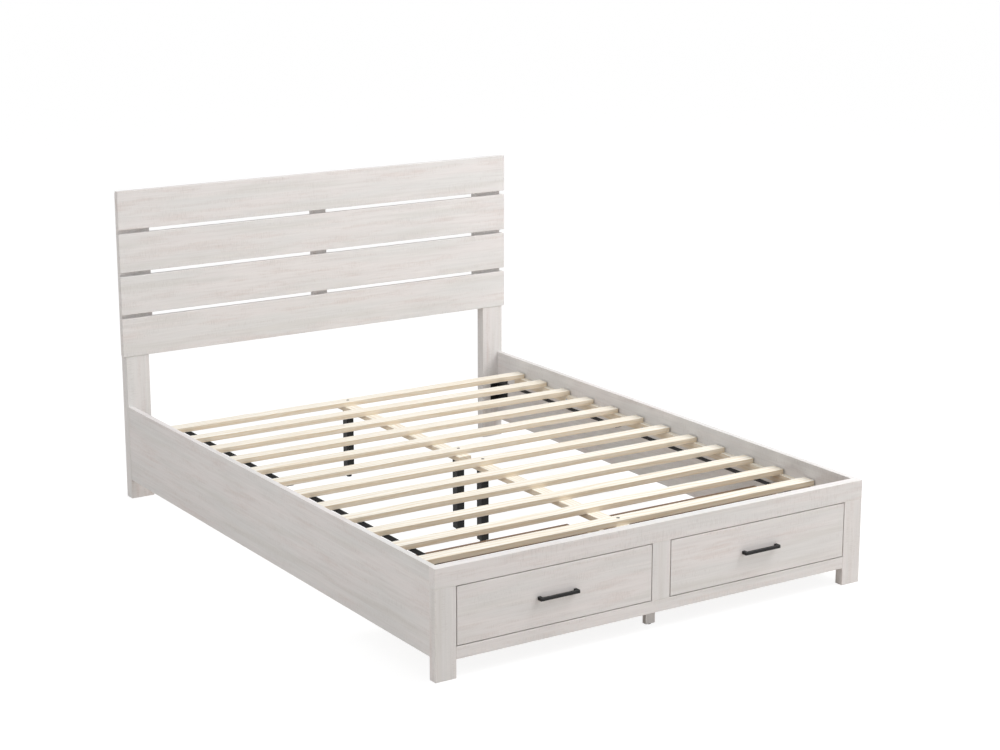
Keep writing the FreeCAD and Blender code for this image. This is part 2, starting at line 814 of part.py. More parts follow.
def make_dowels():
    full = number(dowel_length)
    middle = number(from_foot(foot_thickness / 2))
    pieces = []
    for _, sign in SIDES:
        edge = mirrored(sign, opening_outer, foot_leg_width)
        for column in leg_dowel_columns():
            start = (number(edge + column), middle, number(opening_top) - full / 2)
            pieces.append(dowel(start, (0, 0, 1), full))
        for row in quarter_points(bottom_rail_height):
            start = (sign * (number(opening_outer) - full / 2), middle,
                     number(bottom_rail_bottom + row))
            pieces.append(dowel(start, (sign, 0, 0), full))
        for name in ("inner", "outer"):
            for row in panel_dowel_rows():
                start = (number(panel_dowel_x(name, sign)),
                         number(from_foot(foot_thickness)) - PANEL_DOWEL_SHARE * full,
                         number(row))
                pieces.append(dowel(start, (0, 1, 0), full))
        for row in back_rail_dowel_rows():
            start = (sign * (number(rail_inner) - (1 - RAIL_DOWEL_SHARE) * full),
                     number(from_foot(back_rail_start + back_rail_thickness / 2)), number(row))
            pieces.append(dowel(start, (sign, 0, 0), full))
    for level in (opening_top, opening_bottom):
        for column in stile_dowel_columns():
            start = (number(column - opening_inner), middle, number(level) - full / 2)
            pieces.append(dowel(start, (0, 0, 1), full))
    loose_pieces("dowels", pieces)


# ---------------------------------------------------------------- drawer runner panels

back_rail_start = foot_thickness + panel_length
centre_leg_width = 2 * (opening_inner - panel_thickness)
centre_leg_start = foot_thickness + centre_leg_setback
panel_screw_length = 34
centre_screw_length = 30


def panel_screw_rows():
    return (panel_bottom + panel_screw_edge, back_rail_top - panel_screw_edge)


def centre_leg_screw_rows():
    return (panel_bottom + centre_leg_screw_edge, panel_top - centre_leg_screw_edge)


def make_runner_panels():
    for side, sign in SIDES:
        for name in ("outer", "inner"):
            body = board("runner_panel_%s_%s" % (side, name),
                         (panel_thickness, panel_length, panel_top - panel_bottom),
                         (panel_edge(name, sign), from_foot(foot_thickness), panel_bottom))
            middle = panel_thickness / 2
            centres = [(middle, row - panel_bottom) for row in panel_dowel_rows()]
            drill(body, "dowel_holes", "y", ZERO,
                  dowel_length * (1 - PANEL_DOWEL_SHARE) + dowel_slack, dowel_hole, centres)
            centres = [(middle, row - panel_bottom) for row in panel_screw_rows()]
            drill(body, "end_screw_holes", "y", panel_length,
                  -bite(panel_screw_length, back_rail_thickness), screw_hole, centres)
            if name == "inner":
                along = centre_leg_start + centre_leg_depth / 2 - foot_thickness
                centres = [(along, row - panel_bottom) for row in centre_leg_screw_rows()]
                drill(body, "leg_screw_holes", "x", ZERO, panel_thickness, screw_hole, centres)
            facing = sign if name == "inner" else -sign
            face = panel_thickness if facing > 0 else ZERO
            centres = [(cabinet_member_start - foot_thickness + column,
                        slide_centre - panel_bottom) for column in slide_screw_columns()]
            drill(body, "slide_screw_holes", "x", face,
                  -facing * bite(slide_screw_length, slide_sheet), screw_hole, centres)
            keep(body)


def make_back_rail():
    body = board("runner_back_rail",
                 (2 * rail_inner, back_rail_thickness, back_rail_top - panel_bottom),
                 (-rail_inner, from_foot(back_rail_start), panel_bottom))
    centres = [(panel_dowel_x(name, sign) + rail_inner, row - panel_bottom)
               for _, sign in SIDES for name in ("inner", "outer") for row in panel_screw_rows()]
    drill(body, "screw_holes", "y", ZERO, back_rail_thickness, screw_hole, centres)
    rows = [(back_rail_thickness / 2, row - panel_bottom) for row in back_rail_dowel_rows()]
    depth = dowel_length * (1 - RAIL_DOWEL_SHARE) + dowel_slack
    drill(body, "left_dowel_holes", "x", ZERO, depth, dowel_hole, rows)
    drill(body, "right_dowel_holes", "x", 2 * rail_inner, -depth, dowel_hole, rows)
    keep(body)


def make_centre_leg():
    """Short leg under the middle of the footboard, held between the inner panels."""
    body = board("footboard_centre_leg",
                 (centre_leg_width, centre_leg_depth, panel_top - centre_glide_height),
                 (-centre_leg_width / 2, from_foot(centre_leg_start), centre_glide_height))
    rows = [(centre_leg_depth / 2, row - centre_glide_height)
            for row in centre_leg_screw_rows()]
    depth = bite(centre_screw_length, panel_thickness)
    drill(body, "left_screw_holes", "x", ZERO, depth, screw_hole, rows)
    drill(body, "right_screw_holes", "x", centre_leg_width, -depth, screw_hole, rows)
    keep(body)


# ---------------------------------------------------------------- slat deck

slats_per_roll = 6
slat_bottom = deck_height - slat_thickness
centre_rail_bottom = slat_bottom - centre_rail_thickness
bolt_head_diameter = 12
bolt_head_height = 3
head_seat_slack = 0.2
nut_height = 5
nut_bore_slack = 0.05
tube_top = centre_rail_bottom - leg_plate_thickness

# name and the numbers of the first and last slat, counted from the head
ROLLS = (
    ("head", 1, slats_per_roll),
    ("foot", slats_per_roll + 1, 2 * slats_per_roll))


def slat_line(index):
    """Distance of a slat's centre line from the footboard's front face."""
    return first_slat - (index - 1) * slat_pitch


def make_slats():
    for roll, first, last in ROLLS:
        slats = []
        for index in range(first, last + 1):
            slat = board("slat_%d" % index, (slat_length, slat_width, slat_thickness),
                         (-slat_length / 2, from_foot(slat_line(index) - slat_width / 2),
                          slat_bottom))
            if index in (first, last):
                middle = [(slat_length / 2, slat_width / 2)]
                drill(slat, "bolt_hole", "z", ZERO, slat_thickness, bolt_hole, middle)
                drill(slat, "head_seat", "z", slat_thickness, Size.of(-bolt_head_height),
                      Size.of(bolt_head_diameter + head_seat_slack), middle)
            slats.append(slat)
        bundle("slats_" + roll, slats)


def roll_ends(first, last, beyond):
    """Lower and upper Y of a roll of slats, `beyond` past its outer slats."""
    low = slat_line(last) - slat_width / 2 - beyond
    high = slat_line(first) + slat_width / 2 + beyond
    return low, high


def make_straps():
    """Webbing tapes that keep the slats of a roll evenly spaced."""
    straps = []
    for roll, first, last in ROLLS:
        low, high = roll_ends(first, last, 0)
        for side, sign in SIDES:
            edge = mirrored(sign, strap_centre - strap_width / 2, strap_width)
            straps.append(board("strap_%s_%s" % (roll, side),
                                (strap_width, high - low, strap_thickness),
                                (edge, from_foot(low), slat_bottom - strap_thickness),
                                edge=None))
    bundle("slat_straps", straps)


def make_centre_rails():
    for roll, first, last in ROLLS:
        low, high = roll_ends(first, last, centre_rail_overhang)
        body = board("centre_rail_" + roll,
                     (centre_rail_width, high - low, centre_rail_thickness),
                     (-centre_rail_width / 2, from_foot(low), centre_rail_bottom))
        centres = [(centre_rail_width / 2, slat_line(index) - low) for index in (first, last)]
        drill(body, "bolt_holes", "z", ZERO, centre_rail_thickness, bolt_hole, centres)
        keep(body)


# ---------------------------------------------------------------- centre support legs

def make_support_leg(index):
    """Square steel tube with a fixing plate welded on its upper end."""
    body = new_body("support_leg_at_slat_%d" % index)
    section = new_sketch(body, "tube_section", "XY_Plane")
    inside = leg_tube - 2 * leg_wall
    draw_rectangle(section, -leg_tube / 2, -leg_tube / 2, leg_tube, leg_tube)
    draw_rectangle(section, -inside / 2, -inside / 2, inside, inside)
    tube_length = tube_top - leg_lift
    pad(body, "tube", section, tube_length)
    outline = new_sketch(body, "plate_outline", "XY_Plane")
    bind(outline, "AttachmentOffset.Base.z", tube_length)
    draw_rectangle(outline, -leg_plate / 2, -leg_plate / 2, leg_plate, leg_plate)
    pad(body, "plate", outline, leg_plate_thickness)
    drill(body, "bolt_hole", "z", tube_length, leg_plate_thickness, bolt_hole, [(ZERO, ZERO)])
    place(body, ZERO, from_foot(slat_line(index)), leg_lift)
    return body


def make_support_legs():
    for roll, first, last in ROLLS:
        bundle("support_legs_" + roll, [make_support_leg(first), make_support_leg(last)])


def flat_bolt(seat, reach):
    """Flat-headed bolt with a key socket, pointing down from the underside of its head."""
    radius = number(bolt_diameter) / 2
    thread_bevel = 0.7
    rim = bolt_head_diameter / 2
    rim_bevel = 0.6
    socket = 0.3 * radius
    socket_floor = 0.4
    profile = [(0, reach), (radius - thread_bevel, reach), (radius, reach - thread_bevel),
               (radius, 0), (rim, 0), (rim, rim_bevel - bolt_head_height),
               (rim - rim_bevel, -bolt_head_height), (socket, -bolt_head_height),
               (socket, -socket_floor), (0, -socket_floor)]
    return turned(profile, seat, (0, 0, -1))


def make_support_bolts():
    """Flat-headed bolts down through the end slats, each with its nut inside the tube."""
    pieces = []
    bore = number(bolt_diameter) / 2 + nut_bore_slack
    reach = number(deck_height - tube_top + tip_slack) - bolt_head_height + nut_height
    for _, first, last in ROLLS:
        for index in (first, last):
            y = number(from_foot(slat_line(index)))
            pieces.append(flat_bolt((0, y, number(deck_height) - bolt_head_height), reach))
            nut = hex_prism(bolt_flats, nut_height)
            nut = nut.cut(Part.makeCylinder(bore, nut_height))
            nut.translate(FreeCAD.Vector(0, y, number(tube_top) - nut_height))
            pieces.append(nut)
    loose_pieces("support_leg_bolts", pieces)


glide_bevel = 1.5
glide_neck_radius = 5
plug_height = 20
plug_slack = 0.2


def glide_profile(radius, height):
    """Disc with a rounded lower edge, as half of its outline."""
    return [(0, 0), (radius - glide_bevel, 0), (radius, glide_bevel), (radius, height)]


def make_glides():
    """Plastic feet: one plugged into each steel tube and one under the short centre leg."""
    pieces = []
    radius = number(glide_diameter) / 2
    height = number(glide_height)
    lift = number(leg_lift)
    plug_width = number(leg_tube - 2 * leg_wall) - plug_slack
    profile = glide_profile(radius, height) + [
        (glide_neck_radius, height), (glide_neck_radius, lift), (0, lift)]
    for _, first, last in ROLLS:
        for index in (first, last):
            y = number(from_foot(slat_line(index)))
            corner = FreeCAD.Vector(-plug_width / 2, y - plug_width / 2, lift)
            plug = Part.makeBox(plug_width, plug_width, plug_height, corner)
            foot = turned(profile, (0, y, 0), (0, 0, 1))
            pieces.append(foot.fuse(plug).removeSplitter())
    height = number(centre_glide_height)
    radius = number(centre_leg_depth) / 2 - glide_bevel
    y = number(from_foot(centre_leg_start + centre_leg_depth / 2))
    pieces.append(turned(glide_profile(radius, height) + [(0, height)], (0, y, 0), (0, 0, 1)))
    loose_pieces("floor_glides", pieces)


# ---------------------------------------------------------------- drawer slides

slide_screw_length = 12
slide_screw_head = 7
slide_screw_head_height = 1.6
SLIDE_SCREW_SHARES = (0.1, 0.5, 0.9)        # of a slide's length
cabinet_member_start = foot_thickness + cabinet_member_setback
middle_member_start = foot_thickness - middle_member_lead
drawer_member_start = front_thickness + drawer_member_setback


def slide_screw_columns():
    """Screws along a slide member, from its front end."""
    return [slide_length * share for share in SLIDE_SCREW_SHARES]


def slide_screw(seat, direction):
    """Short screw with a flat head that stays clear of the moving member."""
    return wood_screw(seat, direction, slide_screw_length, slide_screw_head,
                      slide_screw_head_height)


def slide_places(sign):
    """Name, X of the panel face and the direction that leads from it to the drawer."""
    return (("inner", sign * opening_inner, sign), ("outer", sign * opening_outer, -sign))


def channel_outline(web, reach, half_height):
    """C section from the outer face of its web to the tips of its flanges."""
    steel = slide_sheet
    inside = web + steel if number(reach) > number(web) else web - steel
    inner_height = half_height - steel
    return [(web, -half_height), (reach, -half_height), (reach, -inner_height),
            (inside, -inner_height), (inside, inner_height), (reach, inner_height),
            (reach, half_height), (web, half_height)]


def beam_outline(low, high, half_height):
    """I section between two flange tips with its web in the middle of the slide."""
    steel = slide_sheet
    left = middle_member_web
    right = left + steel
    inner_height = half_height - steel
    return [(low, -half_height), (high, -half_height), (high, -inner_height),
            (right, -inner_height), (right, inner_height), (high, inner_height),
            (high, half_height), (low, half_height), (low, inner_height),
            (left, inner_height), (left, -inner_height), (low, -inner_height)]


def make_slide_member(label, outline, place_x, facing, start):
    body = new_body(label)
    sketch = new_sketch(body, "section", "XZ_Plane")
    draw_polygon(sketch, [(facing * u, w) for u, w in outline])
    pad(body, "rolled_section", sketch, slide_length)
    place(body, place_x, from_foot(start + slide_length), slide_centre)
    return body


def make_slides():
    cabinet = channel_outline(ZERO, cabinet_member_reach, slide_height / 2)
    middle = beam_outline(middle_member_low, middle_member_high, middle_member_height / 2)
    drawer = channel_outline(slide_depth, drawer_member_tip, drawer_member_height / 2)
    holes = [(column - slide_length, ZERO) for column in slide_screw_columns()]
    for side, sign in SIDES:
        members = {"cabinet": [], "middle": [], "drawer": []}
        for name, x, facing in slide_places(sign):
            tail = "_%s_%s" % (side, name)
            body = make_slide_member("cabinet_member" + tail, cabinet, x, facing,
                                     cabinet_member_start)
            drill(body, "screw_holes", "x", ZERO, facing * slide_sheet, screw_hole, holes)
            members["cabinet"].append(body)
            body = make_slide_member("middle_member" + tail, middle, x, facing,
                                     middle_member_start)
            members["middle"].append(body)
            body = make_slide_member("drawer_member" + tail, drawer, x, facing,
                                     drawer_member_start)
            drill(body, "screw_holes", "x", facing * slide_depth, -facing * slide_sheet,
                  screw_hole, holes)
            members["drawer"].append(body)
        for kind, bodies in members.items():
            bundle("slide_%s_%s" % (kind, side), bodies)


# ---------------------------------------------------------------- drawers

front_width = opening_outer - opening_inner - 2 * drawer_gap
front_height = opening_top - opening_bottom - 2 * drawer_gap
front_bottom = opening_bottom + drawer_gap
front_low = opening_inner + drawer_gap
box_start = front_thickness - housing_depth
box_end = front_thickness + box_length
inner_side_low = opening_inner + slide_depth
outer_side_low = opening_outer - slide_depth - box_thickness
bay_low = inner_side_low + box_thickness       # clear space between the two sides
bay_width = outer_side_low - bay_low
groove_height = bottom_thickness + groove_slack
groove_bottom = box_bottom + groove_rise - groove_slack / 2
tongue = groove_depth - groove_slack
back_screw_length = 34
pull_screw_length = 28
front_middle = (opening_inner + opening_outer) / 2
pull_height = (opening_bottom + opening_top) / 2


def back_screw_rows():
    return quarter_points(box_height)


def pull_columns():
    """Distances of the pull's two feet from the drawer front's lower X edge."""
    middle = front_width / 2
    return (middle - pull_spacing / 2, middle + pull_spacing / 2)


def make_drawer_front(side, sign):
    edge = mirrored(sign, front_low, front_width)
    body = board("drawer_%s_front" % side, (front_width, front_thickness, front_height),
                 (edge, from_foot(ZERO), front_bottom))
    slack = groove_slack / 2

    def draw_housings(sketch):
        for low in (inner_side_low, outer_side_low):
            left = mirrored(sign, low, box_thickness) - edge
            draw_rectangle(sketch, left - slack, box_bottom - front_bottom - slack,
                           box_thickness + groove_slack, box_height + groove_slack)

    def draw_groove(sketch):
        left = mirrored(sign, bay_low, bay_width) - edge
        draw_rectangle(sketch, left, groove_bottom - front_bottom, bay_width, groove_height)

    pocket(body, "side_housings", "y", front_thickness, -housing_depth, draw_housings)
    pocket(body, "bottom_groove", "y", front_thickness, -groove_depth, draw_groove)
    centres = [(column, pull_height - front_bottom) for column in pull_columns()]
    drill(body, "pull_holes", "y", ZERO, front_thickness, screw_hole, centres)
    keep(body)


def make_drawer_side(side, sign, name, low, facing):
    """One long side; `facing` leads from the slide towards the drawer's inside."""
    length = box_end - box_start
    body = board("drawer_%s_side_%s" % (side, name), (box_thickness, length, box_height),
                 (mirrored(sign, low, box_thickness), from_foot(box_start), box_bottom))
    slide_face = ZERO if facing > 0 else box_thickness
    inside_face = box_thickness if facing > 0 else ZERO

    def draw_groove(sketch):
        draw_rectangle(sketch, -OVERRUN, groove_bottom - box_bottom, length + 2 * OVERRUN,
                       groove_height)

    pocket(body, "bottom_groove", "x", inside_face, -facing * groove_depth, draw_groove)
    centres = [(length - box_thickness / 2, row) for row in back_screw_rows()]
    drill(body, "back_screw_holes", "x", ZERO, box_thickness, screw_hole, centres)
    centres = [(drawer_member_start - box_start + column, slide_centre - box_bottom)
               for column in slide_screw_columns()]
    drill(body, "slide_screw_holes", "x", slide_face,
          facing * bite(slide_screw_length, slide_sheet), screw_hole, centres)
    keep(body)


def make_drawer_back(side, sign):
    body = board("drawer_%s_back" % side, (bay_width, box_thickness, box_height),
                 (mirrored(sign, bay_low, bay_width), from_foot(box_end - box_thickness),
                  box_bottom))

    def draw_groove(sketch):
        draw_rectangle(sketch, -OVERRUN, groove_bottom - box_bottom, bay_width + 2 * OVERRUN,
                       groove_height)

    pocket(body, "bottom_groove", "y", ZERO, groove_depth, draw_groove)
    rows = [(box_thickness / 2, row) for row in back_screw_rows()]
    depth = bite(back_screw_length, box_thickness)
    drill(body, "left_screw_holes", "x", ZERO, depth, screw_hole, rows)
    drill(body, "right_screw_holes", "x", bay_width, -depth, screw_hole, rows)
    keep(body)


def make_drawer_bottom(side, sign):
    width = bay_width + 2 * tongue
    start = front_thickness - tongue
    length = box_end - box_thickness + tongue - start
    keep(board("drawer_%s_bottom" % side, (width, length, bottom_thickness),
               (mirrored(sign, bay_low - tongue, width), from_foot(start),
                box_bottom + groove_rise), edge=None))


def make_pull(side, sign):
    """Square-bar pull: a bar with a square foot behind each end."""
    length = pull_spacing + pull_section
    body = new_body("drawer_%s_pull" % side)
    sketch = new_sketch(body, "outline", "XY_Plane")
    far_foot = length - pull_section
    draw_polygon(sketch, [
        (ZERO, ZERO), (length, ZERO), (length, pull_reach), (far_foot, pull_reach),
        (far_foot, pull_bar_depth), (pull_section, pull_bar_depth),
        (pull_section, pull_reach), (ZERO, pull_reach)])
    block = pad(body, "bar_and_feet", sketch, pull_section)
    behind = number(pull_bar_depth) * 0.99
    edges = ["Edge%d" % (i + 1) for i, edge in enumerate(block.Shape.Edges)
             if edge.BoundBox.YMax < behind]
    feature = body.newObject("PartDesign::Chamfer", "softened_edges")
    feature.Base = (block, edges)
    bind(feature, "Size", pull_arris)
    doc.recompute()
    centres = [(pull_section / 2 + offset, pull_section / 2) for offset in (ZERO, pull_spacing)]
    drill(body, "screw_holes", "y", pull_reach, -bite(pull_screw_length, front_thickness),
          screw_hole, centres)
    place(body, sign * front_middle - length / 2, from_foot(-pull_reach),
          pull_height - pull_section / 2)
    keep(body)


def make_drawer_screws(side, sign):
    screws = []
    edge = mirrored(sign, front_low, front_width)
    for column in pull_columns():
        seat = (number(edge + column), number(from_foot(front_thickness)), number(pull_height))
        screws.append(wood_screw(seat, (0, -1, 0), pull_screw_length))
    for _, x, facing in slide_places(sign):
        across = (facing, 0, 0)
        outer_face = number(x + facing * slide_depth)
        for row in back_screw_rows():
            seat = (outer_face, number(from_foot(box_end - box_thickness / 2)),
                    number(box_bottom + row))
            screws.append(wood_screw(seat, across, back_screw_length))
        for column in slide_screw_columns():
            seat = (outer_face - facing * number(slide_sheet),
                    number(from_foot(drawer_member_start + column)), number(slide_centre))
            screws.append(slide_screw(seat, across))
    loose_pieces("drawer_%s_screws" % side, screws)


def make_drawer(side, sign):
    make_drawer_front(side, sign)
    make_drawer_side(side, sign, "inner", inner_side_low, sign)
    make_drawer_side(side, sign, "outer", outer_side_low, -sign)
    make_drawer_back(side, sign)
    make_drawer_bottom(side, sign)
    make_pull(side, sign)
    make_drawer_screws(side, sign)


# ---------------------------------------------------------------- screws of the lower frame

def make_frame_screws():
    """Screws of the ledgers, the runner panels, the short centre leg and the fixed slides."""
    screws = []
    for _, sign in SIDES:
        for column in ledger_columns():
            seat = (sign * number(rail_inner - ledger_width),
                    number(from_foot(ledger_start + column)),
                    number(ledger_bottom + ledger_height / 2))
            screws.append(wood_screw(seat, (sign, 0, 0), ledger_screw_length))
        for name in ("inner", "outer"):
            for row in panel_screw_rows():
                seat = (number(panel_dowel_x(name, sign)),
                        number(from_foot(back_rail_start + back_rail_thickness)), number(row))
                screws.append(wood_screw(seat, (0, -1, 0), panel_screw_length))
        for row in centre_leg_screw_rows():
            seat = (sign * number(opening_inner),
                    number(from_foot(centre_leg_start + centre_leg_depth / 2)), number(row))
            screws.append(wood_screw(seat, (-sign, 0, 0), centre_screw_length))
        for _, x, facing in slide_places(sign):
            for column in slide_screw_columns():
                seat = (number(x) + facing * number(slide_sheet),
                        number(from_foot(cabinet_member_start + column)), number(slide_centre))
                screws.append(slide_screw(seat, (-facing, 0, 0)))
    loose_pieces("frame_screws", screws)


# ---------------------------------------------------------------- build and write out

make_planks()
make_stiles()
make_head_legs()
make_join_plates()
make_headboard_screws()
make_side_rails()
make_ledgers()
make_brackets()
make_bracket_bolts()
make_footboard_legs()
make_footboard_rails()
make_mid_stile()
make_dowels()
make_runner_panels()
make_back_rail()
make_centre_leg()
make_slats()
make_straps()
make_centre_rails()
make_support_legs()
make_support_bolts()
make_glides()
make_slides()
for drawer_side, drawer_sign in SIDES:
    make_drawer(drawer_side, drawer_sign)
make_frame_screws()
doc.recompute()

for thing in doc.Objects:
    if "Invalid" in thing.State or "Error" in thing.State:
        raise RuntimeError("%s is in state %s" % (thing.Label, thing.State))

os.makedirs("parts", exist_ok=True)
for thing in sub_parts:
    if thing.Shape.isNull() or not thing.Shape.isValid():
        raise RuntimeError("%s has no valid shape" % thing.Label)
    thing.Shape.exportStep("parts/%s.step" % thing.Label)
print("%d sub-parts" % len(sub_parts))
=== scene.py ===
import json
import math

import bpy
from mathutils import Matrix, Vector

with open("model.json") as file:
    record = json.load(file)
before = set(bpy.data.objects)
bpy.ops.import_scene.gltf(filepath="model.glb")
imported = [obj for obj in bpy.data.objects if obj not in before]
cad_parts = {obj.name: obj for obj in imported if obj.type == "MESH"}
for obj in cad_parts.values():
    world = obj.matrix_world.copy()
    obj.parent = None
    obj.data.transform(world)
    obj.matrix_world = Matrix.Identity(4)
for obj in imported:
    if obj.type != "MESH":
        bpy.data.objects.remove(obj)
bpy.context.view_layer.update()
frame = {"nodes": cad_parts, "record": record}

# ---------------------------------------------------------------- camera, floor and light
# Lengths are in metres, angles in degrees and powers in watts.

CAMERA_TARGET = Vector((0.238, 0.191, 0.5))
CAMERA_DISTANCE = 7.71
CAMERA_AZIMUTH = 33.0        # the camera stands to the left of the foot end
CAMERA_ELEVATION = 14.04
CAMERA_LENS = 79.1           # millimetres
CAMERA_SENSOR = 36.0         # millimetres
CAMERA_REACH = 200.0

WHITE = (1.0, 1.0, 1.0, 1.0)
FLOOR_RADIUS = 60.0
FLOOR_SIDES = 64
WALL_HEIGHT = 40.0
FLOOR_COLOUR = (124, 124, 124)
FLOOR_GLOW = 0.88
FLOOR_DROP = 0.0005          # keeps the seen floor clear of the feet
BOUNCE_COLOUR = (204, 196, 189)
BOUNCE_DROP = 0.001          # keeps the floor that bounces the light clear of the seen one
SKY_STRENGTH = 0.43
SOFTBOX_SIZE = 4.0
SOFTBOX_AIM = Vector((0.0, 0.0, 0.4))
# The place and power of each softbox.
SOFTBOXES = {
    "key": ((3.4, -2.2, 5.0), 290.0),
    "overhead": ((0.2, 0.0, 5.5), 45.0),
    "left_fill": ((-7.0, -1.0, 3.0), 108.0),
    "front_fill": ((1.0, -5.0, 1.6), 26.0)}

# Sockets of the Mix node when it mixes colours.
MIX_FACTOR = 0
MIX_FIRST = 6
MIX_SECOND = 7
MIX_RESULT = 2

FULL_TURN = 2 * math.pi

# Cosines between a face's normal and its rounded one.
FLAT_FACE = 0.995
SHARP_EDGE = 0.80


# ---------------------------------------------------------------- node helpers

def srgb(red, green, blue):
    """Linear colour, with alpha, from 0-255 display values."""
    def linear(value):
        value /= 255
        return value / 12.92 if value <= 0.04045 else ((value + 0.055) / 1.055) ** 2.4
    return (linear(red), linear(green), linear(blue), 1.0)


class Finish:
    """One node-based material and the few node patterns that the finishes share."""

    def __init__(self, name):
        self.material = bpy.data.materials.new(name)
        self.material.use_nodes = True
        self.tree = self.material.node_tree
        self.shader = self.tree.nodes["Principled BSDF"]

    def plug(self, value, target):
        """Links a socket, or sets a plain value."""
        if isinstance(value, bpy.types.NodeSocket):
            self.tree.links.new(value, target)
        else:
            target.default_value = value

    def node(self, kind, inputs=None, **settings):
        made = self.tree.nodes.new("ShaderNode" + kind)
        for key, value in settings.items():
            setattr(made, key, value)
        for key, value in (inputs or {}).items():
            self.plug(value, made.inputs[key])
        return made

    def calculate(self, operation, first, second=0.0):
        return self.node("Math", {0: first, 1: second}, operation=operation).outputs[0]

    def plus(self, first, second):
        return self.calculate("ADD", first, second)

    def minus(self, first, second):
        return self.calculate("SUBTRACT", first, second)

    def times(self, first, second):
        return self.calculate("MULTIPLY", first, second)

    def span(self, value, low, high, to_low=0.0, to_high=1.0):
        """Maps a range of values to another, held inside it."""
        made = self.node("MapRange", {"Value": value, "From Min": low, "From Max": high,
                                      "To Min": to_low, "To Max": to_high}, clamp=True)
        return made.outputs[0]

    def blend(self, factor, first, second):
        """Goes from the first colour to the second as the factor goes from 0 to 1."""
        made = self.node("Mix", {MIX_FACTOR: factor, MIX_FIRST: first, MIX_SECOND: second},
                         data_type="RGBA")
        return made.outputs[MIX_RESULT]

    def vector(self, x, y, z):
        return self.node("CombineXYZ", {"X": x, "Y": y, "Z": z}).outputs[0]

    def noise(self, vector, scale=1.0, detail=3.0, roughness=0.55):
        made = self.node("TexNoise", {"Vector": vector, "Scale": scale, "Detail": detail,
                                      "Roughness": roughness})
        return made.outputs["Fac"]

    def own_axes(self, grain):
        """Object coordinates as (along, across, across) for a board whose grain runs along `grain`."""
        place = self.node("TexCoord").outputs["Object"]
        parts = self.node("SeparateXYZ", {0: place}).outputs
        order = {"x": (0, 1, 2), "y": (1, 0, 2), "z": (2, 0, 1)}[grain]
        return [parts[index] for index in order]

    def own_number(self, scale):
        """A number that differs from one object to the next."""
        return self.times(self.node("ObjectInfo").outputs["Random"], scale)

    def edge_highlight_and_wear_mask(self, radius):
        """1 along sharp edges, 0 on flat faces, from how far a rounded normal leaves the true one. The
        finishes use it to paint edges lighter, as painted highlight and wear.
        """
        soft = self.node("Bevel", {"Radius": radius}, samples=4).outputs[0]
        flat = self.node("NewGeometry").outputs["Normal"]
        made = self.node("VectorMath", {0: soft, 1: flat}, operation="DOT_PRODUCT")
        return self.span(made.outputs["Value"], FLAT_FACE, SHARP_EDGE)

    def bump(self, height, strength, distance):
        made = self.node("Bump", {"Height": height, "Strength": strength, "Distance": distance})
        self.plug(made.outputs[0], self.shader.inputs["Normal"])

    def surface(self, **inputs):
        for key, value in inputs.items():
            self.plug(value, self.shader.inputs[key.replace("_", " ")])
        return self.material


def board_figure(finish, grain, ring, warp):
    """Growth-ring lines, fine fibre streaks, pores and slow clouds of a cut board. `ring` is
    the distance between growth rings, and `warp` how far they wander along the board."""
    along, across, rise = finish.own_axes(grain)
    own = finish.own_number(9.0)
    across = finish.plus(across, own)
    rise = finish.plus(rise, own)

    def layer(stretch, scale, detail, roughness=0.55):
        """Noise drawn out along the grain: the smaller the stretch, the longer the streaks."""
        place = finish.vector(finish.times(along, stretch), across, rise)
        return finish.noise(place, scale, detail, roughness)

    slow = layer(stretch=0.22, scale=7.0, detail=2.0)
    drift = finish.times(finish.minus(slow, 0.5), warp)
    away = finish.node("VectorMath", {0: finish.vector(0.0, across, rise)}, operation="LENGTH")
    phase = finish.times(finish.plus(away.outputs["Value"], drift), FULL_TURN / ring)
    rings = finish.span(finish.calculate("SINE", phase), -1.0, 1.0)
    fibre = layer(stretch=0.03, scale=110.0, detail=5.0, roughness=0.62)
    pores = layer(stretch=0.02, scale=800.0, detail=2.0)
    clouds = layer(stretch=0.16, scale=14.0, detail=3.0)
    return rings, fibre, pores, clouds


# ---------------------------------------------------------------- finishes

